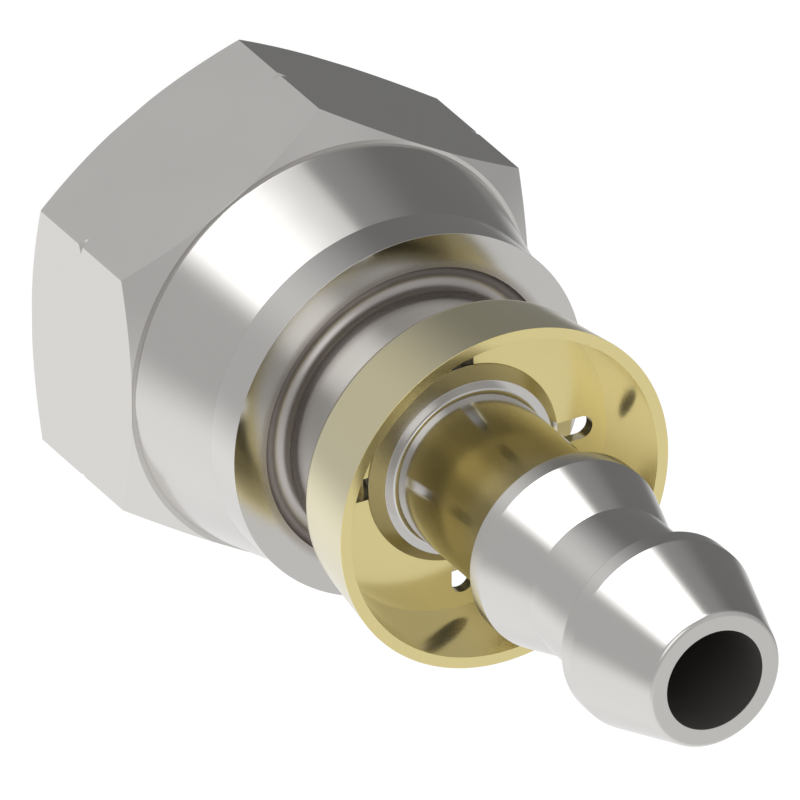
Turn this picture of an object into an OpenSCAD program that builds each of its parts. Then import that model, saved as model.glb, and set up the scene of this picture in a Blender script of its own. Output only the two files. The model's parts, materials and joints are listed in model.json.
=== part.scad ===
// Swivel hose nipple: a turned stem with two barbs, a hexagon union nut that turns on it,
// and a thin slotted cup that is snapped behind the stem's collar.
// The part stands on the nut's open end. Z = 0 is that end face, and +Z runs along
// the common axis to the hose end. Two of the nut's corners point along +Y and -Y.

/* [Nut] */
// Width of the nut across its flats
nut_af = 19; // [17:0.5:24]
// Length of the hexagon, from end face to end face
nut_hex_len = 8.45; // [7.5:0.05:12]
// Slope of the corner chamfers, measured from the end face
nut_chamfer_a = 30; // [20:1:40]
// How far the round end face reaches past the middle of each flat
nut_face_over = 0.05; // [0.02:0.01:0.15]
// Depth of the V groove that crosses each corner
groove_depth = 0.18; // [0.1:0.02:0.4]
// Half of the angle between the groove's two sides
groove_half_a = 45; // [30:1:60]
// Step from the flats in to the root of the conical tail
tail_step = 0.24; // [0.2:0.02:0.6]
// Length of the tail that is rolled in over the stem's shoulder
tail_len = 4.64; // [4:0.02:6]
// Taper of the tail's outside, each side
tail_a = 10.7; // [6:0.1:14]
// Hollow corner between the tail and the hexagon
tail_fillet = 0.29; // [0.1:0.01:0.4]

/* [Nut bore] */
// Bore across the thread's crests, for a 1/4 inch parallel pipe thread
thread_minor_d = 11.445; // [11.2:0.005:11.8]
// Depth of the thread below its crests
thread_depth = 0.856; // [0.6:0.002:1]
// Width of the entry chamfer past the bottom of the thread
thread_entry = 0.1; // [0.05:0.05:0.4]
// Length of the undercut where the thread runs out
undercut_len = 1.7; // [1:0.1:2.5]
// How far the undercut is cut past the bottom of the thread
undercut_clear = 0.12; // [0.02:0.02:0.2]
// Straight length of the wide bore around the stem's shoulder
relief_len = 1.2; // [0.9:0.1:2]
// Slope of the rolled-in cone inside the tail, from the axis
crimp_a = 19.4; // [15:0.1:30]
// Length of the bearing land at the tail's end
land_len = 1.15; // [0.6:0.05:2]

/* [Stem] */
// Bore through the whole stem
bore_d = 4.5; // [3.5:0.1:5]
// Diameter that turns inside the nut's bearing land
journal_d = 12; // [11.5:0.1:12.4]
// Diameter of the shoulder that the nut pulls on
shoulder_d = 13.7; // [13:0.1:14]
// Edge chamfer of the shoulder
shoulder_chamfer = 0.2; // [0.1:0.05:0.3]
// Largest diameter of the nose that seals against the other half of the joint
nose_d = 10.6; // [9.5:0.1:10.9]
// Length of the nose, from the shoulder to its flat end
nose_len = 1.7; // [1:0.1:2.5]
// Straight length between the sealing cone and the shoulder
nose_land = 0.2; // [0.1:0.05:0.5]
// Slope of the sealing cone, from the axis
nose_a = 30; // [25:1:45]
// Length of the flange that covers the nut's tail
flange_len = 1.9; // [1:0.1:4]
// Step from the tail's end in to the flange
flange_step = 0.05; // [0.02:0.01:0.3]
// Diameter of the thick neck in front of the flange
neck_d = 12; // [11:0.1:14]
// Length of the thick neck
neck_len = 3.15; // [2:0.05:6]
// Radius of the round relief groove in the corner between the neck and the flange
neck_groove_r = 0.6; // [0.3:0.05:0.8]
// Distance from the neck out to the centre of that groove
neck_groove_out = 0.2; // [0:0.05:0.25]
// Diameter of the step that the cup rests on
step_d = 8.9; // [8.6:0.1:10]
// Length of that step
step_len = 0.8; // [0.5:0.1:3]
// Diameter of the seat that passes through the cup
seat_d = 8.1; // [7.4:0.1:8.3]

/* [Collar and barbs] */
// Largest diameter of the collar that the cup snaps behind
collar_d = 9.1; // [8.6:0.1:10]
// Diameter of the collar's flat front face
collar_face_d = 8; // [7.8:0.1:8.4]
// Length of the collar's cone
collar_len = 0.56; // [0.4:0.02:1]
// Hollow corner between the collar's face and the hose stub
collar_fillet = 0.16; // [0.08:0.02:0.3]
// Length of the hose stub, from the collar's face to the tip
stub_len = 20.13; // [17:0.01:40]
// Diameter of the stub between its barbs
stub_d = 7; // [6.4:0.1:7.4]
// Largest diameter of a barb
barb_d = 8.7; // [8:0.1:10]
// Slope of a barb's cone, from the axis
barb_a = 17; // [12:1:25]
// Straight land behind each barb's cone
barb_land = 0.8; // [0.3:0.05:1.5]
// Number of barbs
barb_count = 2; // [1:1:2]
// Distance from one barb to the next
barb_pitch = 7.55; // [5:0.05:8]
// Diameter of the tip where its cone would meet the end face
tip_d = 6.12; // [5.7:0.02:6.6]
// Rounding of the tip's edge
tip_round = 0.22; // [0.1:0.02:0.4]

/* [Cup] */
// Outside diameter of the cup's rim
cup_rim_d = 15.6; // [15:0.1:20]
// Height of the cup, from its back to its rim
cup_h = 4; // [2:0.1:8]
// Thickness of the cup's sheet
cup_wall = 0.5; // [0.3:0.05:0.8]
// Taper of the cup's wall, each side
cup_a = 7.2; // [0:0.1:12]
// Outside rounding of the cup's back edge
cup_round = 0.42; // [0.2:0.02:0.6]
// Number of slots in the cup's floor
slot_count = 4; // [3:1:6]
// Width of each slot
slot_w = 1.05; // [0.6:0.05:1.6]
// Distance across the round outer ends of two opposite slots
slot_end_d = 12.4; // [10.5:0.1:12.8]

/* [Clearances] */
// Radial clearance of the stem's journal in the nut's land
journal_clear = 0.05; // [0.02:0.01:0.09]
// Radial clearance around the stem's shoulder
shoulder_clear = 0.15; // [0.1:0.01:0.3]
// Gap along the axis between the two crimp cones
crimp_gap = 0.2; // [0.1:0.01:0.4]
// Gap between the nut's tail and the back of the flange
tail_gap = 0.01; // [0.01:0.01:0.3]
// Gap between the end of the undercut and the shoulder
shoulder_gap = 0.5; // [0.3:0.05:0.7]
// Radial clearance of the cup's hole on its seat
cup_hole_clear = 0.05; // [0:0.01:0.1]
// Play of the cup between its step and the collar
cup_play = 0.01; // [0:0.01:0.1]

/* [Hidden] */
$fn = 96;
// Length by which shapes run into each other before they are joined or cut
overlap = 0.1;

// Nut, outside
nut_len = nut_hex_len + tail_len;
nut_corner_r = nut_af / 2 / cos(30);
nut_face_r = nut_af / 2 + nut_face_over;
tail_root_r = nut_af / 2 - tail_step;
tail_end_r = tail_root_r - tail_len * tan(tail_a);

// Nut, inside
thread_minor_r = thread_minor_d / 2;
thread_major_r = thread_minor_r + thread_depth;
thread_entry_r = thread_major_r + thread_entry;
undercut_r = thread_major_r + undercut_clear;
land_r = journal_d / 2 + journal_clear;
relief_r = shoulder_d / 2 + shoulder_clear;
land_z = nut_len - land_len;
crimp_z = land_z - (relief_r - land_r) / tan(crimp_a);
relief_z = crimp_z - relief_len;
thread_end_z = relief_z - undercut_len;

// Stem, heights along the axis
shoulder_z = relief_z + shoulder_gap;
nose_z = shoulder_z - nose_len;
flange_z = nut_len + tail_gap;
flange_face_z = flange_z + flange_len;
neck_face_z = flange_face_z + neck_len;
cup_z = neck_face_z + step_len;
collar_z = cup_z + cup_wall + cup_play;
collar_face_z = collar_z + collar_len;
tip_z = collar_face_z + stub_len;

// Stem, radii that follow other sizes
flange_r = tail_end_r - flange_step;

// Cup, inside
cup_wall_across = cup_wall / cos(cup_a);
cup_back_r = cup_rim_d / 2 - cup_h * tan(cup_a);
cup_floor_r = cup_back_r - cup_wall_across + cup_wall * tan(cup_a);
slot_end_r = (slot_end_d - slot_w) / 2;

// Point at distance r from centre c, in direction a
function polar(c, r, a) = c + r * [cos(a), sin(a)];

// Height of the stem's crimp cone at radius r
function crimp_cone_z(r) = land_z + (land_r - r) / tan(crimp_a) - crimp_gap;

// Space between an arc and the corner that it rounds: added to a profile it fills a hollow
// corner, and cut from a profile it rounds an edge. The point "beyond" lies past the corner,
// and the arc about c runs from direction a0 to direction a1, tangent to both sides.
module corner_space(beyond, c, r, a0, a1) {
    reach = r + overlap;
    difference() {
        polygon([beyond, polar(c, reach, a0), c, polar(c, reach, a1)]);
        translate(c) circle(r = r);
    }
}

// Hexagon with both ends chamfered by cones and a V groove across its corners
module hexagon() {
    margin = 1;
    chamfer_h = (nut_corner_r + margin - nut_face_r) * tan(nut_chamfer_a);
    groove_r = nut_corner_r - groove_depth;
    groove_half_w = (groove_depth + margin) * tan(groove_half_a);
    difference() {
        intersection() {
            rotate([0, 0, 30]) cylinder(h = nut_hex_len, r = nut_corner_r, $fn = 6);
            rotate_extrude() polygon([
                [0, 0],
                [nut_face_r, 0],
                [nut_corner_r + margin, chamfer_h],
                [nut_corner_r + margin, nut_hex_len - chamfer_h],
                [nut_face_r, nut_hex_len],
                [0, nut_hex_len]
            ]);
        }
        rotate_extrude() polygon([
            [groove_r, nut_hex_len / 2],
            [nut_corner_r + margin, nut_hex_len / 2 - groove_half_w],
            [nut_corner_r + margin, nut_hex_len / 2 + groove_half_w]
        ]);
    }
}

// Conical tail with a hollow corner where it leaves the hexagon
module tail() {
    centre_r = tail_root_r + tail_fillet * (1 - sin(tail_a)) / cos(tail_a);
    centre = [centre_r, nut_hex_len + tail_fillet];
    inside = [tail_root_r - overlap, nut_hex_len - overlap];
    rotate_extrude() {
        polygon([
            [0, nut_hex_len / 2],
            [tail_root_r, nut_hex_len / 2],
            [tail_root_r, nut_hex_len],
            [tail_end_r, nut_len],
            [0, nut_len]
        ]);
        corner_space(inside, centre, tail_fillet, 270, 180 + tail_a);
    }
}

// Inside of the nut: thread bore, undercut, wide bore, rolled-in cone and bearing land
module nut_bore() {
    rotate_extrude() polygon([
        [0, -overlap],
        [thread_entry_r + overlap, -overlap],
        [thread_minor_r, thread_entry_r - thread_minor_r],
        [thread_minor_r, thread_end_z],
        [undercut_r, thread_end_z],
        [undercut_r, relief_z],
        [relief_r, relief_z],
        [relief_r, crimp_z],
        [land_r, land_z],
        [land_r, nut_len + overlap],
        [0, nut_len + overlap]
    ]);
}

// The hexagon union nut, one turned piece
module swivel_nut() {
    color([0.76, 0.75, 0.73]) difference() {
        union() {
            hexagon();
            tail();
        }
        nut_bore();
    }
}

// Outline of one barb, with the back of its land at height z and its cone down to radius r
module barb_outline(z, r) {
    cone_len = (barb_d / 2 - r) / tan(barb_a);
    polygon([
        [0, z],
        [barb_d / 2, z],
        [barb_d / 2, z + barb_land],
        [r, z + barb_land + cone_len],
        [0, z + barb_land + cone_len]
    ]);
}

// Outline of the first barb, whose cone runs on to the rounded tip
module tip_outline(z) {
    tip_r = tip_d / 2;
    setback = tip_round * tan((90 - barb_a) / 2);
    centre = [tip_r - setback, tip_z - tip_round];
    beyond = [tip_r + overlap, tip_z + overlap];
    difference() {
        barb_outline(z, tip_r);
        corner_space(beyond, centre, tip_round, barb_a, 90);
    }
}

// Outline of the hose stub: the barbs and the thinner stub that carries them
module stub_outline() {
    first_barb_z = tip_z - (barb_d - tip_d) / 2 / tan(barb_a) - barb_land;
    tip_outline(first_barb_z);
    translate([0, collar_face_z - overlap]) {
        square([stub_d / 2, first_barb_z - collar_face_z + 2 * overlap]);
    }
    for (i = [1 : 1 : barb_count - 1]) barb_outline(first_barb_z - i * barb_pitch, stub_d / 2);
}

// Outline of the stem inside the nut: nose with its sealing cone, shoulder and journal
module nut_end_outline() {
    nose_end_r = nose_d / 2 - (nose_len - nose_land) * tan(nose_a);
    polygon([
        [0, nose_z],
        [nose_end_r, nose_z],
        [nose_d / 2, shoulder_z - nose_land],
        [nose_d / 2, shoulder_z],
        [shoulder_d / 2 - shoulder_chamfer, shoulder_z],
        [shoulder_d / 2, shoulder_z + shoulder_chamfer],
        [shoulder_d / 2, crimp_cone_z(shoulder_d / 2)],
        [journal_d / 2, crimp_cone_z(journal_d / 2)],
        [journal_d / 2, flange_z + overlap],
        [0, flange_z + overlap]
    ]);
}

// Outline of the flange and of the thick neck, with a round relief groove in their corner
module flange_outline() {
    neck_r = neck_d / 2;
    difference() {
        union() {
            translate([0, flange_z]) square([flange_r, flange_len]);
            translate([0, flange_face_z - overlap]) square([neck_r, neck_len + overlap]);
        }
        translate([neck_r + neck_groove_out, flange_face_z]) circle(r = neck_groove_r);
    }
}

// Outline of the step, the seat and the collar that hold the cup
module collar_outline() {
    stub_r = stub_d / 2;
    centre = [stub_r + collar_fillet, collar_face_z + collar_fillet];
    inside = [stub_r - overlap, collar_face_z - overlap];
    polygon([
        [0, neck_face_z - overlap],
        [step_d / 2, neck_face_z - overlap],
        [step_d / 2, cup_z],
        [seat_d / 2, cup_z],
        [seat_d / 2, collar_z],
        [collar_d / 2, collar_z],
        [collar_face_d / 2, collar_face_z],
        [0, collar_face_z]
    ]);
    corner_space(inside, centre, collar_fillet, 270, 180);
}

// The stem, one turned piece with a bore right through
module hose_stem() {
    color([0.78, 0.77, 0.75]) rotate_extrude() difference() {
        union() {
            nut_end_outline();
            flange_outline();
            collar_outline();
            stub_outline();
        }
        square([bore_d / 2, tip_z + overlap]);
    }
}

// Half section of the cup: flat floor, tapered wall and a rounded back edge
module cup_outline() {
    setback = cup_round * tan((90 - cup_a) / 2);
    centre = [cup_back_r - setback, cup_z + cup_round];
    beyond = [cup_back_r + overlap, cup_z - overlap];
    hole_r = seat_d / 2 + cup_hole_clear;
    difference() {
        polygon([
            [hole_r, cup_z],
            [cup_back_r, cup_z],
            [cup_rim_d / 2, cup_z + cup_h],
            [cup_rim_d / 2 - cup_wall_across, cup_z + cup_h],
            [cup_floor_r, cup_z + cup_wall],
            [hole_r, cup_z + cup_wall]
        ]);
        corner_space(beyond, centre, cup_round, 270, 360 - cup_a);
    }
}

// One slot of the cup's floor, from the axis to its round outer end
module slot() {
    height = cup_wall + 2 * overlap;
    translate([0, -slot_w / 2, 0]) cube([slot_end_r, slot_w, height]);
    translate([slot_end_r, 0, 0]) cylinder(h = height, d = slot_w);
}

// The cup, pressed from thin sheet, with slots that part its floor into tongues
module hose_cup() {
    color([0.84, 0.79, 0.52]) difference() {
        rotate_extrude() cup_outline();
        translate([0, 0, cup_z - overlap]) {
            for (i = [0 : slot_count - 1]) rotate([0, 0, i * 360 / slot_count]) slot();
        }
    }
}

swivel_nut();
hose_stem();
hose_cup();
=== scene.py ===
"""Swivel hose nipple: the turned stem, the union nut and the thin slotted cup, with their finishes."""

import json
import math

import bmesh
import bpy
from bpy.props import FloatProperty, FloatVectorProperty, IntProperty, PointerProperty
from mathutils import Matrix, Vector


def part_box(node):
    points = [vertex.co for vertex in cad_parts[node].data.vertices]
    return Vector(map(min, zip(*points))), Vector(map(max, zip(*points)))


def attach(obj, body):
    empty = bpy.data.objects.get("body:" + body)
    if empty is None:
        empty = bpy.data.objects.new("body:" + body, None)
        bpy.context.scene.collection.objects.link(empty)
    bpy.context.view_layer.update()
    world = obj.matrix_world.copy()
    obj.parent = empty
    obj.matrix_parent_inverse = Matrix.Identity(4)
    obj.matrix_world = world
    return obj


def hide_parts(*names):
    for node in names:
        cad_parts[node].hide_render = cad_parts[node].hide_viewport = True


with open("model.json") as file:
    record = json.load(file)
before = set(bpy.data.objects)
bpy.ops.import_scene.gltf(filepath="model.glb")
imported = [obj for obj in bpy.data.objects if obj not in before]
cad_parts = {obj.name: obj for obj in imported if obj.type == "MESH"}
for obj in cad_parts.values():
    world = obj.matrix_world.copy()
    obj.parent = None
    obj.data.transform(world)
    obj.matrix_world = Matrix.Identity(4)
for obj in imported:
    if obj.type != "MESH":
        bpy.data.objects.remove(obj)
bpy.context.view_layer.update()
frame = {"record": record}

bl_info = {
    "name": "Hose nipple",
    "version": (1, 0, 0),
    "blender": (4, 5, 0),
    "location": "View3D > Sidebar > Hose nipple",
    "description": "Builds a swivel hose nipple around its packed frame",
    "category": "Object",
}

MM = 0.001
NUT_LOW, NUT_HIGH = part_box("swivel_nut")
STEM_LOW, STEM_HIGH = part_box("hose_stem")
CUP_LOW, CUP_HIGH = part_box("hose_cup")
MOUNTS = {mount["name"]: mount["dims"] for mount in frame["record"]["mounts"]}
# Two vertices closer than this are one
SAME_POINT = 0.0002 * MM
# Edges that turn more than this stay sharp
SHARP_ANGLE = math.radians(14)
# Largest turn between two neighbouring facets of a rounding
ARC_STEP = math.radians(9)
# Half of the angle that one flat of the hexagon takes up
HALF_FLAT = math.radians(30)


def length(name, description, default):
    """Property that holds a length in metres."""
    return FloatProperty(
        name=name, description=description, default=default, min=0.0, precision=5, unit="LENGTH"
    )


def slope(name, description, degrees):
    """Property that holds an angle, given in degrees and kept in radians."""
    return FloatProperty(
        name=name, description=description, default=math.radians(degrees), subtype="ANGLE"
    )


def share(name, description, default):
    """Property that holds a share from 0 to 1."""
    return FloatProperty(
        name=name, description=description, default=default, min=0.0, max=1.0, subtype="FACTOR"
    )


def colour(name, description, default):
    """Property that holds a colour."""
    return FloatVectorProperty(
        name=name, description=description, default=default, min=0.0, max=1.0, size=3, subtype="COLOR"
    )


class NutSizes(bpy.types.PropertyGroup):
    """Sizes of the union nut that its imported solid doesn't give directly."""

    across_flats: length("Across flats", "Width across the flats", NUT_HIGH.x - NUT_LOW.x)
    full_length: length("Length", "From the open face to the tail's end", NUT_HIGH.z - NUT_LOW.z)
    hex_length: length("Hexagon length", "From end face to end face", 8.45 * MM)
    chamfer: slope("Corner chamfer", "Slope of the chamfers, from the end face", 30)
    face_over: length("End face reach", "How far the round end face passes the flats", 0.05 * MM)
    groove_depth: length("Groove depth", "Depth of the V groove across the corners", 0.18 * MM)
    tail_step: length("Tail step", "From the flats in to the tail's root", 0.12 * MM)
    tail_taper: slope("Tail taper", "Taper of the rolled-in tail, each side", 12.72)
    tail_fillet: length("Tail fillet", "Hollow corner at the tail's root", 0.005 * MM)
    thread_crest: length(
        "Thread crest", "Radius across the thread's crests", MOUNTS["nut_thread"]["r_mm"] * MM
    )
    thread_pitch: length("Thread pitch", "Distance from crest to crest", 1.337 * MM)
    thread_depth: length("Thread depth", "From crest to root", 0.856 * MM)
    thread_flank: slope("Thread flank", "Half of the angle between the thread's flanks", 27.5)
    thread_round: share("Thread rounding", "Radius of crest and root, as a share of the pitch", 0.137329)
    thread_length: length("Thread length", "From the open face to the undercut", 6.342 * MM)
    thread_entry: length("Thread entry", "Radius of the entry chamfer past the root", 0.1 * MM)
    undercut_radius: length("Undercut", "Radius of the undercut", 6.6985 * MM)
    undercut_length: length("Undercut length", "Length of the undercut", 1.7 * MM)
    relief_radius: length("Wide bore", "Radius around the stem's shoulder", 7.0 * MM)
    relief_length: length("Wide bore length", "Straight length of the wide bore", 1.2 * MM)
    land_radius: length("Bearing land", "Radius of the land that turns on the stem", 6.05 * MM)
    land_length: length("Land length", "Length of the bearing land", 1.15 * MM)
    edge_break: length("Edge break", "Width of the broken edges", 0.008 * MM)
    corner_round: length("Corner rounding", "Rounding of the six upright corners", 0.04 * MM)
    flat_columns: IntProperty(
        name="Columns", description="Mesh columns on each flat", default=32, min=8, max=64
    )


class StemSizes(bpy.types.PropertyGroup):
    """Sizes of the turned stem, along its axis and across it."""

    bore_radius: length("Bore", "Radius of the bore", MOUNTS["flow_bore"]["r_mm"] * MM)
    nose_radius: length("Nose", "Largest radius of the nose", 5.3 * MM)
    nose_length: length("Nose length", "From the nose's end to the shoulder", 1.7 * MM)
    nose_land: length("Nose land", "Straight length before the shoulder", 0.2 * MM)
    nose_slope: slope("Nose slope", "Slope of the sealing cone, from the axis", 30)
    shoulder_radius: length("Shoulder", "Radius of the shoulder inside the nut", 6.85 * MM)
    shoulder_chamfer: length("Shoulder chamfer", "Edge chamfer of the shoulder", 0.2 * MM)
    shoulder_length: length("Shoulder length", "Straight length with its chamfer", 0.926 * MM)
    journal_radius: length("Journal", "Radius that turns in the nut", 6.0 * MM)
    journal_start: length("Journal start", "Height at which the journal starts", 11.882 * MM)
    flange_start: length("Flange start", "Height of the flange's back", 13.093 * MM)
    flange_length: length("Flange length", "Length of the flange", 1.907 * MM)
    flange_radius: length("Flange", "Radius of the flange", STEM_HIGH.x)
    neck_radius: length("Neck", "Radius of the thick neck", 6.0 * MM)
    neck_length: length("Neck length", "Length of the thick neck", 3.15 * MM)
    groove_radius: length("Relief groove", "Radius of the groove at the neck's foot", 0.6 * MM)
    groove_out: length("Groove offset", "From the neck out to the groove's centre", 0.2 * MM)
    step_radius: length("Step", "Radius of the step behind the cup", 4.45 * MM)
    seat_radius: length("Seat", "Radius that passes through the cup", 4.05 * MM)
    seat_length: length("Seat length", "Length of that seat", 0.51 * MM)
    collar_radius: length("Collar", "Largest radius of the collar", 4.55 * MM)
    collar_face: length("Collar face", "Radius of the collar's flat face", 4.0 * MM)
    collar_length: length("Collar length", "Length of the collar's cone", 0.56 * MM)
    collar_fillet: length("Collar fillet", "Hollow corner at the hose stub", 0.16 * MM)
    stub_radius: length("Stub", "Radius of the stub between its barbs", 3.5 * MM)
    barb_radius: length("Barbs", "Largest radius of a barb", MOUNTS["hose_barbs"]["r_mm"] * MM)
    barb_slope: slope("Barb slope", "Slope of a barb's cone, from the axis", 17)
    barb_land: length("Barb land", "Straight land of a barb", MOUNTS["hose_barbs"]["length_mm"] * MM)
    barb_pitch: length("Barb pitch", "From one barb to the next", 7.55 * MM)
    tip_radius: length("Tip", "Radius where the cone would meet the end face", 3.06 * MM)
    tip_round: length("Tip rounding", "Rounding of the tip's outer edge", 0.22 * MM)
    edge_break: length("Edge break", "Rounding of the outer edges", 0.03 * MM)
    crisp_break: length("Crisp edge break", "Rounding of the flange's front edge", 0.01 * MM)
    columns: IntProperty(
        name="Columns", description="Mesh columns round the axis", default=192, min=48, max=360
    )


class CupSizes(bpy.types.PropertyGroup):
    """Sizes of the thin pressed cup."""

    rim_radius: length("Rim", "Outside radius of the rim", CUP_HIGH.x)
    taper: slope("Wall taper", "Taper of the wall, each side", 7.2)
    wall: length("Sheet thickness", "Thickness of the sheet", 0.5 * MM)
    back_round: length("Back rounding", "Outside rounding of the back edge", 0.42 * MM)
    hole_radius: length("Hole", "Radius of the hole on the stem's seat", 4.1 * MM)
    slot_width: length("Slot width", "Width of each slot", 1.05 * MM)
    slot_reach: length("Slot reach", "Radius at which the slots' round ends stop", 6.2 * MM)
    slots: IntProperty(name="Slots", description="Number of slots", default=4, min=3, max=6)
    edge_break: length("Edge break", "Rounding of the hole's edges", 0.03 * MM)
    rim_break: length("Rim edge break", "Rounding of the rim's two edges", 0.01 * MM)
    columns: IntProperty(
        name="Columns", description="Mesh columns round the axis", default=240, min=48, max=360
    )


class Finishes(bpy.types.PropertyGroup):
    """Colours and gloss of the metals, with the painted shade in the groove and the bore, and the cup's
    painted sheen.
    """

    stem_steel: colour("Stem steel", "Bright turned steel of the stem", (0.640, 0.625, 0.605))
    nut_steel: colour("Nut steel", "Bright steel of the nut", (0.630, 0.615, 0.595))
    cup_brass: colour("Cup brass", "Pale yellow metal of the cup", (0.855, 0.735, 0.34))
    # Paler colour painted on the cup where it is seen at a flat angle: a painted sheen
    brass_painted_sheen: colour("Brass sheen", "Paler tint of the cup at a flat angle", (0.79, 0.73, 0.51))
    # Darker colour painted in the relief groove: painted shade, beside its real higher roughness
    groove_painted_shade: colour("Groove steel", "Duller steel of the relief groove", (0.47, 0.44, 0.42))
    # Dark colour painted in the drilled bore: painted shade
    bore_painted_shade: colour("Bore steel", "Dull steel of the drilled bore", (0.13, 0.12, 0.112))
    steel_roughness: share("Steel roughness", "Roughness of the turned steel", 0.16)
    brass_roughness: share("Brass roughness", "Roughness of the pressed cup", 0.15)
    groove_roughness: share("Groove roughness", "Roughness left by the grooving tool", 0.32)
    bore_roughness: share("Bore roughness", "Roughness of the drilled bore", 0.45)
    brass_metal: share("Cup gloss", "Share of metallic gloss on the cup", 0.88)
    bore_metal: share("Bore gloss", "Share of metallic gloss in the bore", 0.3)
    ring_spacing: length("Turning marks", "Distance between the faint turning marks", 0.16 * MM)
    ring_height: length("Mark height", "Height of the faint turning marks", 0.00004 * MM)


class StageSettings(bpy.types.PropertyGroup):
    """The camera and the pale floor."""

    lens: FloatProperty(
        name="Lens", description="Focal length, long for a nearly parallel view", default=1600.0,
        min=1.0, unit="CAMERA",
    )
    frame_width: length("Frame width", "Width of the picture at the part", 33.05 * MM)
    floor_size: length("Floor size", "Side of the square floor", 4.0)
    floor_grey: share("Floor grey", "Grey on which the part's shadow falls", 0.2)
    floor_glow: share("Floor glow", "Light that the floor adds for the camera", 0.9)


GROUPS = {
    "nipple_nut": NutSizes,
    "nipple_stem": StemSizes,
    "nipple_cup": CupSizes,
    "nipple_finish": Finishes,
    "nipple_stage": StageSettings,
}


# Outlines

def fillet_points(before, corner, after, radius):
    """Points that round one corner of an outline, with a support point on each side."""
    to_before = before - corner
    to_after = after - corner
    room = min(to_before.length, to_after.length)
    to_before.normalize()
    to_after.normalize()
    half = to_before.angle(to_after) / 2
    setback = radius / math.tan(half)
    centre = corner + (to_before + to_after).normalized() * (radius / math.sin(half))
    start = corner + to_before * setback - centre
    end = corner + to_after * setback - centre
    turn = math.pi - 2 * half
    steps = max(2, math.ceil(turn / ARC_STEP))
    points = []
    for i in range(steps + 1):
        near_start = math.sin(turn * (1 - i / steps)) / math.sin(turn)
        near_end = math.sin(turn * i / steps) / math.sin(turn)
        points.append(centre + start * near_start + end * near_end)
    # The support points keep the shading of the rounding off the flats beside it
    support = min(0.6 * radius, 0.2 * (room - setback))
    first = corner + to_before * (setback + support)
    last = corner + to_after * (setback + support)
    return [first, *points, last]


def relief_groove(neck, face, sizes):
    """Sharp-edged corners of the round groove that is sunk in the corner of neck and flange."""
    centre = Vector((neck + sizes.groove_out, face))
    turn = math.pi + math.acos(sizes.groove_out / sizes.groove_radius)
    steps = math.ceil(turn / ARC_STEP)
    corners = []
    for i in range(steps + 1):
        lean = -turn * i / steps
        r = centre.x + sizes.groove_radius * math.cos(lean)
        z = centre.y + sizes.groove_radius * math.sin(lean)
        corners.append((r, z, 0))
    return corners


def rounded_outline(corners):
    """Closed outline from corners (radius, height, rounding), each rounded by its own radius."""
    points = []
    for i, (r, z, rounding) in enumerate(corners):
        before = Vector(corners[i - 1][:2])
        after = Vector(corners[(i + 1) % len(corners)][:2])
        corner = Vector((r, z))
        if rounding > 0:
            points += fillet_points(before, corner, after, rounding)
        else:
            points.append(corner)
    return points


# Meshes

def mark_sharp_edges(mesh):
    """Shades every face smooth, and keeps the edges that turn sharply."""
    for face in mesh.faces:
        face.smooth = True
    for edge in mesh.edges:
        if len(edge.link_faces) == 2:
            edge.smooth = edge.calc_face_angle() < SHARP_ANGLE


def object_from_columns(name, columns):
    """Closed mesh through columns of points. Each column is a closed loop around the metal."""
    mesh = bmesh.new()
    vertices = [[mesh.verts.new(point) for point in column] for column in columns]
    count = len(columns[0])
    for left, right in zip(vertices, vertices[1:] + vertices[:1]):
        for i in range(count):
            j = (i + 1) % count
            mesh.faces.new((left[i], right[i], right[j], left[j]))
    bmesh.ops.remove_doubles(mesh, verts=mesh.verts, dist=SAME_POINT)
    bmesh.ops.recalc_face_normals(mesh, faces=mesh.faces)
    mark_sharp_edges(mesh)
    data = bpy.data.meshes.new(name)
    mesh.to_mesh(data)
    mesh.free()
    piece = bpy.data.objects.new(name, data)
    bpy.context.scene.collection.objects.link(piece)
    return piece


def around(radius, height, angle):
    """Point at that radius and height, turned about the axis by that angle."""
    return Vector((radius * math.cos(angle), radius * math.sin(angle), height))


def revolved(name, outline, count):
    """Solid of revolution of a closed outline about the axis."""
    columns = []
    for k in range(count):
        angle = 2 * math.pi * k / count
        columns.append([around(point.x, point.y, angle) for point in outline])
    return object_from_columns(name, columns)


# Stem

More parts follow.
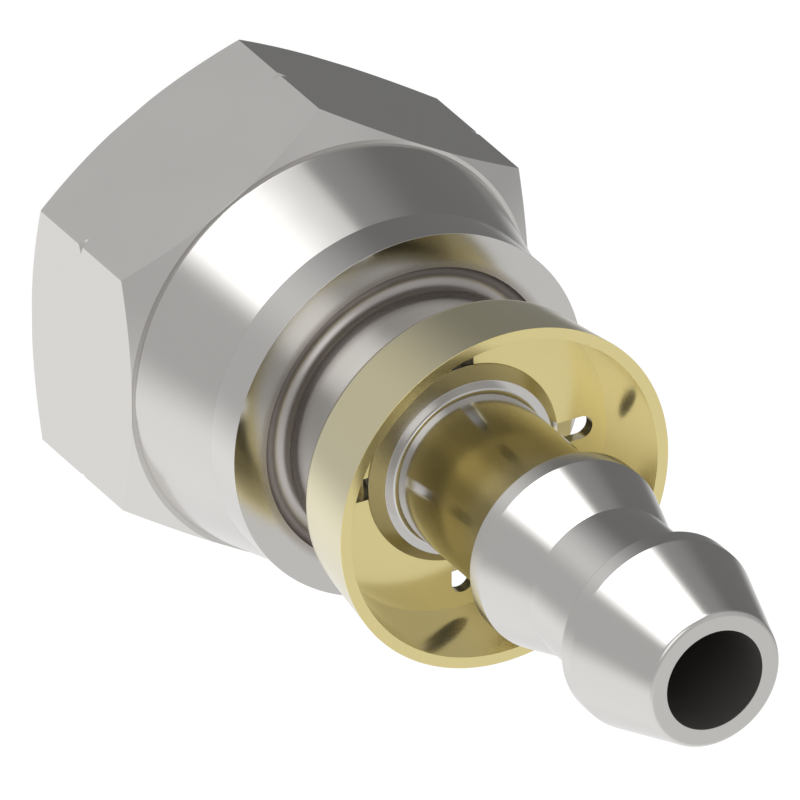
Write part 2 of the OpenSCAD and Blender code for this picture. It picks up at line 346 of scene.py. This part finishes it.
def stem_corners(sizes):
    """Corners of the stem's half section, from the nose's bore along the outside to the tip's bore."""
    shoulder_z = STEM_LOW.z + sizes.nose_length
    nose_end = sizes.nose_radius - (sizes.nose_length - sizes.nose_land) * math.tan(sizes.nose_slope)
    flange_face = sizes.flange_start + sizes.flange_length
    neck_face = flange_face + sizes.neck_length
    seat_z = CUP_LOW.z
    collar_z = seat_z + sizes.seat_length
    collar_face_z = collar_z + sizes.collar_length
    tip_z = STEM_HIGH.z
    rise = math.tan(sizes.barb_slope)
    first_barb = tip_z - (sizes.barb_radius - sizes.tip_radius) / rise - sizes.barb_land
    rear_barb = first_barb - sizes.barb_pitch
    barb_cone = (sizes.barb_radius - sizes.stub_radius) / rise
    edge = sizes.edge_break
    return [
        (sizes.bore_radius, STEM_LOW.z, edge),
        (nose_end, STEM_LOW.z, edge),
        (sizes.nose_radius, shoulder_z - sizes.nose_land, edge),
        (sizes.nose_radius, shoulder_z, 0),
        (sizes.shoulder_radius - sizes.shoulder_chamfer, shoulder_z, 0),
        (sizes.shoulder_radius, shoulder_z + sizes.shoulder_chamfer, 0),
        (sizes.shoulder_radius, shoulder_z + sizes.shoulder_length, edge),
        (sizes.journal_radius, sizes.journal_start, edge),
        (sizes.journal_radius, sizes.flange_start, 0),
        (sizes.flange_radius, sizes.flange_start, 0),
        (sizes.flange_radius, flange_face, sizes.crisp_break),
        *relief_groove(sizes.neck_radius, flange_face, sizes),
        (sizes.neck_radius, neck_face, edge),
        (sizes.step_radius, neck_face, 0),
        (sizes.step_radius, seat_z, 0),
        (sizes.seat_radius, seat_z, 0),
        (sizes.seat_radius, collar_z, 0),
        (sizes.collar_radius, collar_z, edge),
        (sizes.collar_face, collar_face_z, edge),
        (sizes.stub_radius, collar_face_z, sizes.collar_fillet),
        (sizes.stub_radius, rear_barb, edge),
        (sizes.barb_radius, rear_barb, edge),
        (sizes.barb_radius, rear_barb + sizes.barb_land, edge),
        (sizes.stub_radius, rear_barb + sizes.barb_land + barb_cone, edge),
        (sizes.stub_radius, first_barb, edge),
        (sizes.barb_radius, first_barb, edge),
        (sizes.barb_radius, first_barb + sizes.barb_land, edge),
        (sizes.tip_radius, tip_z, sizes.tip_round),
        (sizes.bore_radius, tip_z, edge),
    ]


# Nut

def hexagon_outline(sizes):
    """Points round the hexagon as (angle, radius), closer together towards its rounded corners."""
    flat = sizes.across_flats / 2
    half_side = flat * math.tan(HALF_FLAT)
    setback = sizes.corner_round * math.tan(HALF_FLAT)
    corner_steps = 6
    points = []
    for k in range(6):
        turn = 2 * HALF_FLAT * k
        for i in range(sizes.flat_columns + 1):
            along = (half_side - setback) * math.sin(math.pi * (i / sizes.flat_columns - 0.5))
            points.append((turn + math.atan2(along, flat), math.hypot(along, flat)))
        for i in range(1, corner_steps):
            lean = 2 * HALF_FLAT * i / corner_steps
            x = flat - sizes.corner_round + sizes.corner_round * math.cos(lean)
            y = half_side - setback + sizes.corner_round * math.sin(lean)
            points.append((turn + math.atan2(y, x), math.hypot(x, y)))
    return points


def thread_rounding(sizes):
    """Radius of the thread's rounded crests and roots, and the angle that each turns to a flank."""
    return sizes.thread_round * sizes.thread_pitch, math.pi / 2 - sizes.thread_flank


def thread_radius(sizes, along):
    """Radius of the rounded 55 degree thread at a distance along the axis from a crest."""
    crest_round, arc_turn = thread_rounding(sizes)
    arc_half = crest_round * math.sin(arc_turn)
    arc_rise = crest_round * (1 - math.cos(arc_turn))
    half = sizes.thread_pitch / 2
    x = abs((along + half) % sizes.thread_pitch - half)
    if x < arc_half:
        return sizes.thread_crest + crest_round - math.sqrt(crest_round**2 - x**2)
    if x > half - arc_half:
        root = sizes.thread_crest + sizes.thread_depth
        return root - crest_round + math.sqrt(crest_round**2 - (half - x) ** 2)
    return sizes.thread_crest + arc_rise + (x - arc_half) / math.tan(sizes.thread_flank)


def thread_rows(sizes, angle):
    """Half section of the helical thread at one angle, from the open face up to the undercut."""
    crest_round, arc_turn = thread_rounding(sizes)
    entry = sizes.thread_crest + sizes.thread_depth + sizes.thread_entry
    # Five facets make each rounding. These are shares of its turn to either side
    leans = (-1, -0.64, -0.24, 0.24, 0.64, 1)
    arc = [crest_round * math.sin(lean * arc_turn) for lean in leans]
    steps = arc + [sizes.thread_pitch / 2 + x for x in arc]
    lead = sizes.thread_pitch * angle / (2 * math.pi)
    turns = math.ceil(sizes.thread_length / sizes.thread_pitch) + 1
    rows = []
    # Rows past an end of the thread fall on that end, so that every column has as many
    for turn in range(-2, turns):
        for step in steps:
            z = min(max(turn * sizes.thread_pitch + lead + step, 0.0), sizes.thread_length)
            rows.append((max(thread_radius(sizes, z - lead), entry - z), z))
    return rows


def hexagon_rows(sizes, radius):
    """Outside of the hexagon where it has that radius, from the open face up to the tail."""
    face = sizes.across_flats / 2 + sizes.face_over
    edge = sizes.edge_break
    fall = math.tan(sizes.chamfer)
    inner = radius - edge
    drop_out = max(0.0, (radius - face) * fall)
    drop_in = max(0.0, (inner - face) * fall)
    top = sizes.hex_length
    middle = top / 2
    corner = sizes.across_flats / 2 / math.cos(HALF_FLAT)
    groove = min(radius, corner - sizes.groove_depth)
    # The groove is a right-angled V, so it is as deep as half its width
    groove_half = radius - groove
    return [
        (min(face, inner), 0.0),
        (inner, drop_in),
        (radius, drop_out + edge),
        (radius, middle - groove_half),
        (groove, middle),
        (radius, middle + groove_half),
        (radius, top - drop_out - edge),
        (inner, top - drop_in),
        (min(face, inner), top),
    ]


def tail_rows(sizes, widest):
    """Outside of the tail, from its corner at the hexagon, which stays inside widest, to its end."""
    root = sizes.across_flats / 2 - sizes.tail_step
    fall = math.tan(sizes.tail_taper)
    centre_r = root + sizes.tail_fillet * (1 - math.sin(sizes.tail_taper)) / math.cos(sizes.tail_taper)
    centre_z = sizes.hex_length + sizes.tail_fillet
    arc_turn = math.pi / 2 - sizes.tail_taper
    arc_steps = 9
    rows = []
    for i in range(arc_steps + 1):
        lean = 1.5 * math.pi - arc_turn * i / arc_steps
        r = min(centre_r + sizes.tail_fillet * math.cos(lean), widest)
        rows.append((r, centre_z + sizes.tail_fillet * math.sin(lean)))
    root_r, root_z = rows[-1]
    support = 0.15 * MM
    rows.append((root_r - support * fall, root_z + support))
    rows.append((root - (sizes.full_length - sizes.hex_length) * fall, sizes.full_length))
    return rows


def hollow_rows(sizes):
    """Inside of the nut, from the bearing land in the tail's end down to the thread."""
    end = sizes.full_length
    edge = sizes.edge_break
    relief_z = sizes.thread_length + sizes.undercut_length
    return [
        (sizes.land_radius + edge, end),
        (sizes.land_radius, end - edge),
        (sizes.land_radius, end - sizes.land_length),
        (sizes.relief_radius, relief_z + sizes.relief_length),
        (sizes.relief_radius, relief_z),
        (sizes.undercut_radius, relief_z),
        (sizes.undercut_radius, sizes.thread_length),
    ]


def nut_section(sizes, angle, radius):
    """Closed half section of the nut at one angle, where the hexagon has that radius."""
    outside = hexagon_rows(sizes, radius) + tail_rows(sizes, radius - sizes.edge_break)
    return outside + hollow_rows(sizes) + thread_rows(sizes, angle)[::-1]


def nut_columns(sizes):
    """Columns of the nut's mesh. The first comes again a full turn on, where the helix has risen."""
    outline = hexagon_outline(sizes)
    first_angle, first_radius = outline[0]
    outline.append((first_angle + 2 * math.pi, first_radius))
    columns = []
    for angle, radius in outline:
        columns.append([around(r, z, angle) for r, z in nut_section(sizes, angle, radius)])
    return columns


# Cup

def cup_corners(sizes):
    """Corners of the cup's half section: floor, tapered wall and rounded back edge."""
    height = CUP_HIGH.z - CUP_LOW.z
    across = sizes.wall / math.cos(sizes.taper)
    back = sizes.rim_radius - height * math.tan(sizes.taper)
    crease = back - across + sizes.wall * math.tan(sizes.taper)
    edge = sizes.edge_break
    return [
        (sizes.hole_radius, CUP_LOW.z, edge),
        (back, CUP_LOW.z, sizes.back_round),
        (sizes.rim_radius, CUP_HIGH.z, sizes.rim_break),
        (sizes.rim_radius - across, CUP_HIGH.z, sizes.rim_break),
        (crease, CUP_LOW.z + sizes.wall, 0),
        (sizes.hole_radius, CUP_LOW.z + sizes.wall, edge),
    ]


def slot_cutter(sizes, angle):
    """Bar with a round outer end, which cuts one slot of the cup's floor."""
    margin = 0.3 * MM
    low = CUP_LOW.z - margin
    high = CUP_LOW.z + sizes.wall + margin
    half = sizes.slot_width / 2
    reach = sizes.slot_reach - half
    arc_steps = 16
    points = [(0.0, -half)]
    for i in range(arc_steps + 1):
        lean = math.pi * (i / arc_steps - 0.5)
        points.append((reach + half * math.cos(lean), half * math.sin(lean)))
    points.append((0.0, half))
    mesh = bmesh.new()
    bottom = [mesh.verts.new((x, y, low)) for x, y in points]
    top = [mesh.verts.new((x, y, high)) for x, y in points]
    mesh.faces.new(bottom[::-1])
    mesh.faces.new(top)
    for i in range(len(points)):
        j = (i + 1) % len(points)
        mesh.faces.new((bottom[i], bottom[j], top[j], top[i]))
    bmesh.ops.rotate(mesh, verts=mesh.verts, cent=(0, 0, 0), matrix=Matrix.Rotation(angle, 3, "Z"))
    bmesh.ops.recalc_face_normals(mesh, faces=mesh.faces)
    data = bpy.data.meshes.new("slot_cutter")
    mesh.to_mesh(data)
    mesh.free()
    cutter = bpy.data.objects.new("slot_cutter", data)
    bpy.context.scene.collection.objects.link(cutter)
    return cutter


def cut_slots(cup, sizes):
    """Cuts the slots into the cup's floor and shades it again."""
    for k in range(sizes.slots):
        cutter = slot_cutter(sizes, 2 * math.pi * k / sizes.slots)
        cut = cup.modifiers.new("slot", "BOOLEAN")
        cut.operation = "DIFFERENCE"
        cut.solver = "EXACT"
        cut.object = cutter
        bpy.context.view_layer.update()
        shaped = bpy.data.meshes.new_from_object(
            cup.evaluated_get(bpy.context.evaluated_depsgraph_get())
        )
        cup.modifiers.clear()
        cup.data = shaped
        bpy.data.objects.remove(cutter)
    mesh = bmesh.new()
    mesh.from_mesh(cup.data)
    bmesh.ops.remove_doubles(mesh, verts=mesh.verts, dist=SAME_POINT)
    mark_sharp_edges(mesh)
    mesh.to_mesh(cup.data)
    mesh.free()
    cup.data.name = cup.name


# Finishes

# Soft clouds of shade on each metre of metal, and the part of the noise's range that they use
CLOUDS = 260.0
CLOUD_LOW = 0.3
CLOUD_HIGH = 0.7
# How far the clouds change the shade and the roughness, as shares
SHADE_CHANGE = 0.015
GLOSS_CHANGE = 0.1
# How flat the line of sight is, from 0 to 1, where the cup's painted paler sheen starts and is full
SHEEN_START = 0.2
SHEEN_FULL = 0.55
# Shares of the groove's radius to which its dull finish and painted shade are full, and at which they
# end
GROOVE_FULL = 1.05
GROOVE_END = 1.8


def node(tree, kind, **settings):
    """New node with its settings."""
    made = tree.nodes.new(kind)
    for name, value in settings.items():
        setattr(made, name, value)
    return made


def calculate(tree, operation, first, second=0.0):
    """Math node of two values, each a number or a socket."""
    made = node(tree, "ShaderNodeMath", operation=operation)
    for socket, value in zip(made.inputs, (first, second)):
        if isinstance(value, (int, float)):
            socket.default_value = value
        else:
            tree.links.new(value, socket)
    return made.outputs[0]


def smooth_ramp(tree, value, start, end, first=0.0, last=1.0):
    """Soft step that is first where the value is start, and last where it is end."""
    made = node(tree, "ShaderNodeMapRange", interpolation_type="SMOOTHSTEP")
    tree.links.new(value, made.inputs["Value"])
    made.inputs["From Min"].default_value = start
    made.inputs["From Max"].default_value = end
    made.inputs["To Min"].default_value = first
    made.inputs["To Max"].default_value = last
    return made.outputs["Result"]


def noise(tree, vector, scale, detail=2.0):
    """Value of a noise texture on those coordinates."""
    made = node(tree, "ShaderNodeTexNoise", noise_dimensions="3D")
    tree.links.new(vector, made.inputs["Vector"])
    made.inputs["Scale"].default_value = scale
    made.inputs["Detail"].default_value = detail
    return made.outputs["Fac"]


def turned_coordinates(tree, position):
    """Coordinates that run along the axis and outwards, so that noise on them makes turning marks."""
    parts = node(tree, "ShaderNodeSeparateXYZ")
    tree.links.new(position, parts.inputs[0])
    x_squared = calculate(tree, "MULTIPLY", parts.outputs["X"], parts.outputs["X"])
    y_squared = calculate(tree, "MULTIPLY", parts.outputs["Y"], parts.outputs["Y"])
    radius = calculate(tree, "SQRT", calculate(tree, "ADD", x_squared, y_squared))
    joined = node(tree, "ShaderNodeCombineXYZ")
    tree.links.new(radius, joined.inputs["X"])
    tree.links.new(parts.outputs["Z"], joined.inputs["Y"])
    return joined.outputs[0]


def blend(tree, amount, first, second):
    """Mix of two colours, each a triple or a socket, by an amount from 0 to 1."""
    made = node(tree, "ShaderNodeMix", data_type="RGBA")
    tree.links.new(amount, made.inputs["Factor"])
    for name, value in (("A", first), ("B", second)):
        if isinstance(value, bpy.types.NodeSocket):
            tree.links.new(value, made.inputs[name])
        else:
            made.inputs[name].default_value = (*value, 1.0)
    return made.outputs["Result"]


def change_gloss(tree, amount, roughness):
    """Mixes another roughness into the shader's own."""
    socket = tree.nodes["Principled BSDF"].inputs["Roughness"]
    made = node(tree, "ShaderNodeMix", data_type="FLOAT")
    tree.links.new(amount, made.inputs["Factor"])
    tree.links.new(socket.links[0].from_socket, made.inputs["A"])
    made.inputs["B"].default_value = roughness
    tree.links.new(made.outputs["Result"], socket)


def metal_finish(name, base, roughness, finish, metal=1.0):
    """Bright metal with faint turning marks, and small changes of shade and gloss."""
    material = bpy.data.materials.new(name)
    material.use_nodes = True
    tree = material.node_tree
    shader = tree.nodes["Principled BSDF"]
    shader.inputs["Metallic"].default_value = metal
    position = node(tree, "ShaderNodeTexCoord").outputs["Object"]
    turned = turned_coordinates(tree, position)
    marks = noise(tree, turned, 1 / finish.ring_spacing)
    cloud = noise(tree, position, CLOUDS)
    darker = [(1 - SHADE_CHANGE) * c for c in base]
    lighter = [min(1.0, (1 + SHADE_CHANGE) * c) for c in base]
    tree.links.new(blend(tree, cloud, darker, lighter), shader.inputs["Base Color"])
    glossier = (1 - GLOSS_CHANGE) * roughness
    duller = (1 + GLOSS_CHANGE) * roughness
    gloss = smooth_ramp(tree, cloud, CLOUD_LOW, CLOUD_HIGH, glossier, duller)
    tree.links.new(gloss, shader.inputs["Roughness"])
    bump = node(tree, "ShaderNodeBump")
    bump.inputs["Strength"].default_value = 1.0
    bump.inputs["Distance"].default_value = finish.ring_height
    tree.links.new(marks, bump.inputs["Height"])
    tree.links.new(bump.outputs["Normal"], shader.inputs["Normal"])
    return material


def paint_sheen_at_flat_angles(material, edge):
    """Blends a painted sheen, a paler colour, into a yellow metal where it is seen at a flat angle."""
    tree = material.node_tree
    shade = tree.nodes["Principled BSDF"].inputs["Base Color"]
    facing = node(tree, "ShaderNodeLayerWeight").outputs["Facing"]
    sheen = smooth_ramp(tree, facing, SHEEN_START, SHEEN_FULL)
    tree.links.new(blend(tree, sheen, shade.links[0].from_socket, edge), shade)


def dull_groove_with_painted_shade(material, radius, height, reach, finish):
    """Duller finish and painted shade in the round relief groove, whose centre ring has that radius and
    height.
    """
    tree = material.node_tree
    shader = tree.nodes["Principled BSDF"]
    position = node(tree, "ShaderNodeTexCoord").outputs["Object"]
    away = node(tree, "ShaderNodeVectorMath", operation="DISTANCE")
    tree.links.new(turned_coordinates(tree, position), away.inputs[0])
    away.inputs[1].default_value = (radius, height, 0.0)
    inside = smooth_ramp(tree, away.outputs["Value"], GROOVE_END * reach, GROOVE_FULL * reach)
    shade = shader.inputs["Base Color"]
    tree.links.new(blend(tree, inside, shade.links[0].from_socket, finish.groove_painted_shade), shade)
    change_gloss(tree, inside, finish.groove_roughness)


def dull_bore_with_painted_shade(material, radius, finish):
    """Dull finish and painted shade inside the drilled bore: a dark colour painted in, with less metal
    and more roughness.
    """
    tree = material.node_tree
    shader = tree.nodes["Principled BSDF"]
    position = node(tree, "ShaderNodeTexCoord").outputs["Object"]
    parts = node(tree, "ShaderNodeSeparateXYZ")
    tree.links.new(turned_coordinates(tree, position), parts.inputs[0])
    just_past_wall = 1.005 * radius
    inside = calculate(tree, "LESS_THAN", parts.outputs["X"], just_past_wall)
    shade = shader.inputs["Base Color"]
    tree.links.new(blend(tree, inside, shade.links[0].from_socket, finish.bore_painted_shade), shade)
    metal = smooth_ramp(tree, inside, 0.0, 1.0, first=1.0, last=finish.bore_metal)
    tree.links.new(metal, shader.inputs["Metallic"])
    change_gloss(tree, inside, finish.bore_roughness)


# Stage

# Directions in which the studio's right side, ceiling and front wall lie
STUDIO_RIGHT = Vector((0.8660, 0.0, 0.5))
STUDIO_UP = Vector((0.25, 0.8660, -0.4330))
STUDIO_FRONT = Vector((-0.4330, 0.5, 0.75))
# From the part to the small lamp beside the camera
SPOT_WAY = (-0.08 * STUDIO_RIGHT + 0.12 * STUDIO_UP + 0.99 * STUDIO_FRONT).normalized()
# Light of the walls, how much of it the rear wall lacks, and what the side wall adds
WALL_LIGHT = 0.59
REAR_SHADE = 0.385
SIDE_LIGHT = 0.07
# Light of the lamp beside the camera, of the softbox overhead and of the glow along its edge
SPOT_LIGHT = 0.9
BOX_LIGHT = 2.0
GLOW_LIGHT = 0.55
# From the point that the camera looks at back to the camera, and the picture's upright
VIEW_BACK = Vector((-0.4305, 0.4969, 0.7535))
VIEW_UP = Vector((0.2484, 0.8678, -0.4303))
VIEW_AIM = Vector((-1.83, 2.47, 17.45)) * MM


def along_direction(tree, direction):
    """How far a ray from the part points along a fixed direction, from -1 to 1."""
    ray = node(tree, "ShaderNodeTexCoord").outputs["Generated"]
    made = node(tree, "ShaderNodeVectorMath", operation="DOT_PRODUCT")
    tree.links.new(ray, made.inputs[0])
    made.inputs[1].default_value = direction
    return made.outputs["Value"]


def times(tree, first, second):
    """Product of two values, each a number or a socket."""
    return calculate(tree, "MULTIPLY", first, second)


def plus(tree, first, second):
    """Sum of two values, each a number or a socket."""
    return calculate(tree, "ADD", first, second)


def rear_wall(tree, right, front):
    """How dark the rear wall is, from 0 to 1. It darkens in two steps and fades to both sides."""
    near_step = smooth_ramp(tree, front, 0.3, -0.05, last=0.62)
    far_step = smooth_ramp(tree, front, -0.1, -0.42, last=0.38)
    left_fade = smooth_ramp(tree, right, -0.72, -0.08)
    right_fade = smooth_ramp(tree, right, 0.95, 0.48, first=0.35)
    return times(tree, plus(tree, near_step, far_step), times(tree, left_fade, right_fade))


def overhead_lamp(tree, right, up, front):
    """Light of the wide softbox overhead, with a dimmer glow along its rear edge."""
    slanted = calculate(tree, "SUBTRACT", front, times(tree, right, 0.61))
    slanted_edge = smooth_ramp(tree, slanted, -0.02, 0.07)
    rear_edge = smooth_ramp(tree, front, -0.24, 0.02)
    glow = times(tree, times(tree, slanted_edge, rear_edge), GLOW_LIGHT)
    # On its left the softbox's rear edge slants forward, as far as a corner
    corner = -0.45
    slant = 0.26
    leftward = calculate(tree, "MINIMUM", calculate(tree, "MAXIMUM", right, corner), 0.0)
    bent = plus(tree, front, times(tree, leftward, slant))
    box = times(tree, smooth_ramp(tree, bent, 0.125, 0.165), BOX_LIGHT)
    lower_edge = smooth_ramp(tree, up, 0.36, 0.7)
    right_edge = smooth_ramp(tree, right, 0.25, 0.02)
    front_edge = smooth_ramp(tree, front, 0.62, 0.5)
    return times(
        tree, times(tree, plus(tree, glow, box), lower_edge), times(tree, right_edge, front_edge)
    )


def pale_ground(tree, right, front):
    """Light of the ground under the part, which falls off to the right, the front and the rear."""
    right_fade = smooth_ramp(tree, right, 0.1, 0.8, first=1.08, last=0.77)
    front_fade = smooth_ramp(tree, front, 0.3, 0.8, first=1.0, last=0.65)
    rear_fade = smooth_ramp(tree, front, -0.6, -1.0, first=1.0, last=0.85)
    return times(tree, times(tree, right_fade, front_fade), rear_fade)


def studio_radiance(tree):
    """Brightness of the studio: pale ground, grey walls, a darker rear wall and the lamps."""
    right = along_direction(tree, STUDIO_RIGHT)
    up = along_direction(tree, STUDIO_UP)
    front = along_direction(tree, STUDIO_FRONT)
    shade = times(tree, rear_wall(tree, right, front), REAR_SHADE)
    walls = calculate(tree, "SUBTRACT", WALL_LIGHT, shade)
    right_wall = smooth_ramp(tree, right, 0.5, 0.75)
    side = times(tree, right_wall, smooth_ramp(tree, front, 0.3, 0.6, last=SIDE_LIGHT))
    spot_disc = smooth_ramp(tree, along_direction(tree, SPOT_WAY), 0.88, 0.99)
    spot = times(tree, spot_disc, SPOT_LIGHT)
    lamp = overhead_lamp(tree, right, up, front)
    sky = plus(tree, plus(tree, walls, side), plus(tree, spot, lamp))
    # Height above the ground, whose horizon rises towards the rear
    height = plus(tree, times(tree, up, 0.912), times(tree, front, 0.44))
    below = smooth_ramp(tree, height, -0.1, -0.5)
    above = calculate(tree, "SUBTRACT", 1.0, below)
    ground = pale_ground(tree, right, front)
    return plus(tree, times(tree, ground, below), times(tree, sky, above))


def light_studio():
    """World that the metal mirrors, and that the camera sees as plain white."""
    white = (1.0, 1.0, 1.0, 1.0)
    world = bpy.data.worlds.new("studio")
    world.use_nodes = True
    tree = world.node_tree
    seen = tree.nodes["Background"]
    seen.inputs["Color"].default_value = white
    light = node(tree, "ShaderNodeBackground")
    light.inputs["Color"].default_value = white
    tree.links.new(studio_radiance(tree), light.inputs["Strength"])
    choice = node(tree, "ShaderNodeMixShader")
    path = node(tree, "ShaderNodeLightPath")
    tree.links.new(path.outputs["Is Camera Ray"], choice.inputs["Fac"])
    tree.links.new(light.outputs[0], choice.inputs[1])
    tree.links.new(seen.outputs[0], choice.inputs[2])
    tree.links.new(choice.outputs[0], tree.nodes["World Output"].inputs["Surface"])
    bpy.context.scene.world = world


def floor_finish(stage):
    """Pale floor with a faint shadow, which can be seen through from below."""
    material = bpy.data.materials.new("pale_floor")
    material.use_nodes = True
    tree = material.node_tree
    tree.nodes.remove(tree.nodes["Principled BSDF"])
    matt = node(tree, "ShaderNodeBsdfDiffuse")
    matt.inputs["Color"].default_value = (stage.floor_grey, stage.floor_grey, stage.floor_grey, 1.0)
    glow = node(tree, "ShaderNodeEmission")
    path = node(tree, "ShaderNodeLightPath")
    strength = times(tree, path.outputs["Is Camera Ray"], stage.floor_glow)
    tree.links.new(strength, glow.inputs["Strength"])
    both = node(tree, "ShaderNodeAddShader")
    tree.links.new(matt.outputs[0], both.inputs[0])
    tree.links.new(glow.outputs[0], both.inputs[1])
    clear = node(tree, "ShaderNodeBsdfTransparent")
    side = node(tree, "ShaderNodeMixShader")
    tree.links.new(node(tree, "ShaderNodeNewGeometry").outputs["Backfacing"], side.inputs["Fac"])
    tree.links.new(both.outputs[0], side.inputs[1])
    tree.links.new(clear.outputs[0], side.inputs[2])
    tree.links.new(side.outputs[0], tree.nodes["Material Output"].inputs["Surface"])
    return material


def lay_floor(stage):
    """Square floor under the nut's open face. The metal mirrors the studio and not the floor."""
    half = stage.floor_size / 2
    data = bpy.data.meshes.new("floor")
    corners = [(-half, -half, 0), (half, -half, 0), (half, half, 0), (-half, half, 0)]
    data.from_pydata(corners, [], [(0, 1, 2, 3)])
    data.materials.append(floor_finish(stage))
    floor = bpy.data.objects.new("floor", data)
    bpy.context.scene.collection.objects.link(floor)
    floor.visible_glossy = False


def place_camera(stage):
    """Camera that looks at the hose end from its side of the part, through a long lens."""
    camera = bpy.data.objects.new("camera", bpy.data.cameras.new("camera"))
    bpy.context.scene.collection.objects.link(camera)
    camera.data.sensor_width = 36.0
    camera.data.lens = stage.lens
    distance = stage.frame_width * stage.lens / camera.data.sensor_width
    back = VIEW_BACK.normalized()
    right = VIEW_UP.cross(back).normalized()
    turn = Matrix((right, back.cross(right), back)).transposed().to_4x4()
    camera.matrix_world = Matrix.Translation(VIEW_AIM + back * distance) @ turn
    camera.data.clip_start = distance * 0.5
    camera.data.clip_end = distance * 2
    bpy.context.scene.camera = camera


def finished(piece, material, body):
    """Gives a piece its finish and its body."""
    piece.data.materials.clear()
    piece.data.materials.append(material)
    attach(piece, body)


class HOSENIPPLE_OT_stage(bpy.types.Operator):
    """Places the camera, the studio light and the pale floor"""

    bl_idname = "hose_nipple.stage"
    bl_label = "Stage"

    def execute(self, context):
        scene = context.scene
        scene.view_settings.view_transform = "Standard"
        place_camera(scene.nipple_stage)
        light_studio()
        lay_floor(scene.nipple_stage)
        return {"FINISHED"}


class HOSENIPPLE_OT_stem(bpy.types.Operator):
    """Turns the stem with its flange, neck, collar and barbs"""

    bl_idname = "hose_nipple.stem"
    bl_label = "Stem"

    def execute(self, context):
        sizes = context.scene.nipple_stem
        finish = context.scene.nipple_finish
        stem = revolved("turned_stem", rounded_outline(stem_corners(sizes)), sizes.columns)
        steel = metal_finish("stem_steel", finish.stem_steel, finish.steel_roughness, finish)
        groove_ring = sizes.neck_radius + sizes.groove_out
        flange_face = sizes.flange_start + sizes.flange_length
        dull_groove_with_painted_shade(steel, groove_ring, flange_face, sizes.groove_radius, finish)
        dull_bore_with_painted_shade(steel, sizes.bore_radius, finish)
        finished(stem, steel, "stem")
        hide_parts("hose_stem")
        return {"FINISHED"}


class HOSENIPPLE_OT_nut(bpy.types.Operator):
    """Cuts the union nut with its chamfers, corner grooves, tail and thread"""

    bl_idname = "hose_nipple.nut"
    bl_label = "Union nut"

    def execute(self, context):
        sizes = context.scene.nipple_nut
        finish = context.scene.nipple_finish
        nut = object_from_columns("union_nut", nut_columns(sizes))
        steel = metal_finish("nut_steel", finish.nut_steel, finish.steel_roughness, finish)
        finished(nut, steel, "nut")
        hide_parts("swivel_nut")
        return {"FINISHED"}


class HOSENIPPLE_OT_cup(bpy.types.Operator):
    """Presses the thin cup and cuts its slots"""

    bl_idname = "hose_nipple.cup"
    bl_label = "Cup"

    def execute(self, context):
        sizes = context.scene.nipple_cup
        finish = context.scene.nipple_finish
        cup = revolved("slotted_cup", rounded_outline(cup_corners(sizes)), sizes.columns)
        cut_slots(cup, sizes)
        brass = metal_finish(
            "cup_brass", finish.cup_brass, finish.brass_roughness, finish, finish.brass_metal
        )
        paint_sheen_at_flat_angles(brass, finish.brass_painted_sheen)
        finished(cup, brass, "stem")
        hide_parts("hose_cup")
        return {"FINISHED"}


OPERATORS = (HOSENIPPLE_OT_stage, HOSENIPPLE_OT_stem, HOSENIPPLE_OT_nut, HOSENIPPLE_OT_cup)


class HOSENIPPLE_PT_panel(bpy.types.Panel):
    """Lists the steps that build the hose nipple"""

    bl_idname = "HOSENIPPLE_PT_panel"
    bl_label = "Hose nipple"
    bl_space_type = "VIEW_3D"
    bl_region_type = "UI"
    bl_category = "Hose nipple"

    def draw(self, context):
        for operator in OPERATORS:
            self.layout.operator(operator.bl_idname)


CLASSES = (*GROUPS.values(), *OPERATORS, HOSENIPPLE_PT_panel)


def register():
    """Registers the classes and hangs the settings on the scene."""
    for item in CLASSES:
        bpy.utils.register_class(item)
    for name, group in GROUPS.items():
        setattr(bpy.types.Scene, name, PointerProperty(type=group))


def unregister():
    """Takes the settings and the classes away again."""
    for name in GROUPS:
        delattr(bpy.types.Scene, name)
    for item in reversed(CLASSES):
        bpy.utils.unregister_class(item)


def main():
    """Builds the stage and every piece."""
    register()
    bpy.ops.hose_nipple.stage()
    bpy.ops.hose_nipple.stem()
    bpy.ops.hose_nipple.nut()
    bpy.ops.hose_nipple.cup()


if __name__ == "__main__":
    main()
